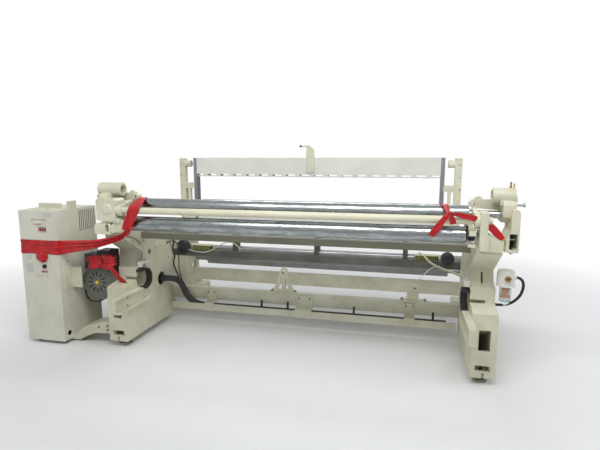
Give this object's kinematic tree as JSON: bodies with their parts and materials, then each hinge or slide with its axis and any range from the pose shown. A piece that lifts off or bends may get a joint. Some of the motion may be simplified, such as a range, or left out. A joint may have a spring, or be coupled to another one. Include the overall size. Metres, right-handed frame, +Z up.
{
  "type": "power loom",
  "caption": "Air-jet weaving loom frame with back-rest rollers, heald frames, sley and reed, breast beam, control cabinet, motor and air filter, shown without its warp beam.",
  "frame": {"origin": "on the floor, in the middle of the overall length and depth of the loom", "axes": "+X across the loom to the right seen from the warp side, +Y from the warp side to the cloth side, +Z up"},
  "size_m": [3.6735, 1.822, 1.567],
  "materials": {
    "cream_paint": "glossy cream machine enamel",
    "white_paint": "white powder coat",
    "slat_paint": "white coated aluminium slat",
    "grey_paint": "grey enamel",
    "case_paint": "grey-green enamel",
    "black_box": "black, slightly blue",
    "cast_iron": "machined and oiled",
    "chrome": "hard chrome, lightly marked",
    "steel": "ground",
    "aluminium": "mill finish",
    "rubber_black": "matt",
    "grip_cover": "rough covering",
    "black_plastic": "fine texture",
    "white_plastic": "gloss",
    "red_plastic": "gloss",
    "clear_bowl": "clear polycarbonate",
    "element": "orange sintered element",
    "valve_yellow": "yellow-green",
    "ribbon_red": "satin ribbon"
  },
  "bodies": {
    "loom": {"side_frame_left": "cream_paint", "side_frame_right": "cream_paint", "levelling_feet": "steel", "beam_rail_left": "cream_paint", "beam_rail_right": "cream_paint", "seat_liners": "rubber_black", "rear_stay": "cream_paint", "conduit_tray": "cream_paint", "stay_brackets": "cream_paint", "bearing_pillar_left": "cream_paint", "bearing_pillar_right": "cream_paint", "conduit": "black_plastic", "conduit_clips": "black_plastic", "back_rest_bracket_left": "cream_paint", "back_rest_bracket_right": "cream_paint", "cross_beam": "cream_paint", "heald_guides": "cream_paint", "front_stay": "cream_paint", "breast_beam": "cream_paint", "cabinet_body": "white_paint", "cabinet_feet": "rubber_black", "cabinet_brackets": "cream_paint", "base_arm": "cream_paint", "main_motor": "grey_paint", "motor_cowl": "grey_paint", "terminal_box": "black_box", "drive_housing": "cream_paint", "gear_case": "case_paint", "air_filter_head": "white_paint", "filter_bowl": "clear_bowl", "filter_element": "element", "filter_hose": "rubber_black", "valve_rail": "grey_paint", "valve_banks": "valve_yellow", "stop_pins": "steel", "ribbons": "ribbon_red"},
    "lock_left": {"beam_lock_left": "white_paint"},
    "lock_right": {"beam_lock_right": "white_paint"},
    "easing": {"easing_levers": "cream_paint"},
    "upper_roll": {"upper_roller": "chrome"},
    "lower_roll": {"lower_roller": "chrome"},
    "heald_1": {"heald_frame_1": "slat_paint", "frame_hook": "cream_paint"},
    "heald_2": {"heald_frame_2": "slat_paint"},
    "heald_3": {"heald_frame_3": "slat_paint"},
    "heald_4": {"heald_frame_4": "slat_paint"},
    "sley": {"rocking_shaft": "steel", "sley_beam": "cast_iron", "reed": "steel"},
    "takeup": {"takeup_roller": "grip_cover"},
    "press": {"press_roller": "rubber_black"},
    "cloth": {"cloth_roller": "steel"},
    "door": {"cabinet_door": "white_paint", "door_ribbon": "ribbon_red"},
    "switch": {"main_switch": "white_plastic"},
    "toggles": {"breaker_toggles": "red_plastic"},
    "stop": {"stop_button": "red_plastic"},
    "selector": {"selector_knob": "black_plastic"}
  },
  "joints": [
    {"name": "lock_left_swing", "type": "hinge", "parent": "loom", "child": "lock_left", "pos_m": [-0.964, -0.443, 0.618], "axis": [1, 0, 0], "range_deg": [-95, 0]},
    {"name": "lock_right_swing", "type": "hinge", "parent": "loom", "child": "lock_right", "pos_m": [1.526, -0.443, 0.618], "axis": [1, 0, 0], "range_deg": [-95, 0]},
    {"name": "easing_swing", "type": "hinge", "parent": "loom", "child": "easing", "pos_m": [0.281, -0.711, 1.074], "axis": [1, 0, 0], "range_deg": [-4, 0], "stiffness_Nm_per_rad": 1500, "springref_deg": 6.88},
    {"name": "upper_roller_spin", "type": "hinge", "parent": "easing", "child": "upper_roll", "pos_m": [0.281, -0.576, 1.099], "axis": [1, 0, 0], "continuous": true},
    {"name": "lower_roller_spin", "type": "hinge", "parent": "loom", "child": "lower_roll", "pos_m": [0.281, -0.661, 0.972], "axis": [1, 0, 0], "continuous": true},
    {"name": "heald_frame_1_lift", "type": "slide", "parent": "loom", "child": "heald_1", "axis": [0, 0, 1], "range_m": [-0.035, 0.035]},
    {"name": "heald_frame_2_lift", "type": "slide", "parent": "loom", "child": "heald_2", "axis": [0, 0, 1], "range_m": [-0.035, 0.035]},
    {"name": "heald_frame_3_lift", "type": "slide", "parent": "loom", "child": "heald_3", "axis": [0, 0, 1], "range_m": [-0.035, 0.035]},
    {"name": "heald_frame_4_lift", "type": "slide", "parent": "loom", "child": "heald_4", "axis": [0, 0, 1], "range_m": [-0.035, 0.035]},
    {"name": "sley_rock", "type": "hinge", "parent": "loom", "child": "sley", "pos_m": [0.281, 0.524, 0.56], "axis": [1, 0, 0], "range_deg": [-10, 12]},
    {"name": "takeup_spin", "type": "hinge", "parent": "loom", "child": "takeup", "pos_m": [0.281, 0.819, 0.772], "axis": [1, 0, 0], "continuous": true},
    {"name": "press_spin", "type": "hinge", "parent": "loom", "child": "press", "pos_m": [0.281, 0.72274, 0.71], "axis": [1, 0, 0], "continuous": true},
    {"name": "cloth_spin", "type": "hinge", "parent": "loom", "child": "cloth", "pos_m": [0.281, 0.739, 0.4], "axis": [1, 0, 0], "continuous": true},
    {"name": "door_swing", "type": "hinge", "parent": "loom", "child": "door", "pos_m": [-1.817, -0.76175, 0.5], "axis": [0, 0, 1], "range_deg": [-110, 0]},
    {"name": "main_switch_turn", "type": "hinge", "parent": "door", "child": "switch", "pos_m": [-1.632, -0.776, 0.972], "axis": [0, 1, 0], "range_deg": [0, 90]},
    {"name": "breaker_toggle_tip", "type": "hinge", "parent": "door", "child": "toggles", "pos_m": [-1.607, -0.757, 0.915], "axis": [1, 0, 0], "range_deg": [0, 30]},
    {"name": "stop_button_push", "type": "slide", "parent": "door", "child": "stop", "axis": [0, 1, 0], "range_m": [0, 0.006], "stiffness_N_per_m": 1500, "springref_m": -0.002},
    {"name": "selector_turn", "type": "hinge", "parent": "door", "child": "selector", "pos_m": [-1.598, -0.776, 0.632], "axis": [0, 1, 0], "range_deg": [-45, 45]}
  ],
  "couplings": [
    {"joint": "press_spin", "follows": "takeup_spin", "ratio": -2.3529}
  ]
}
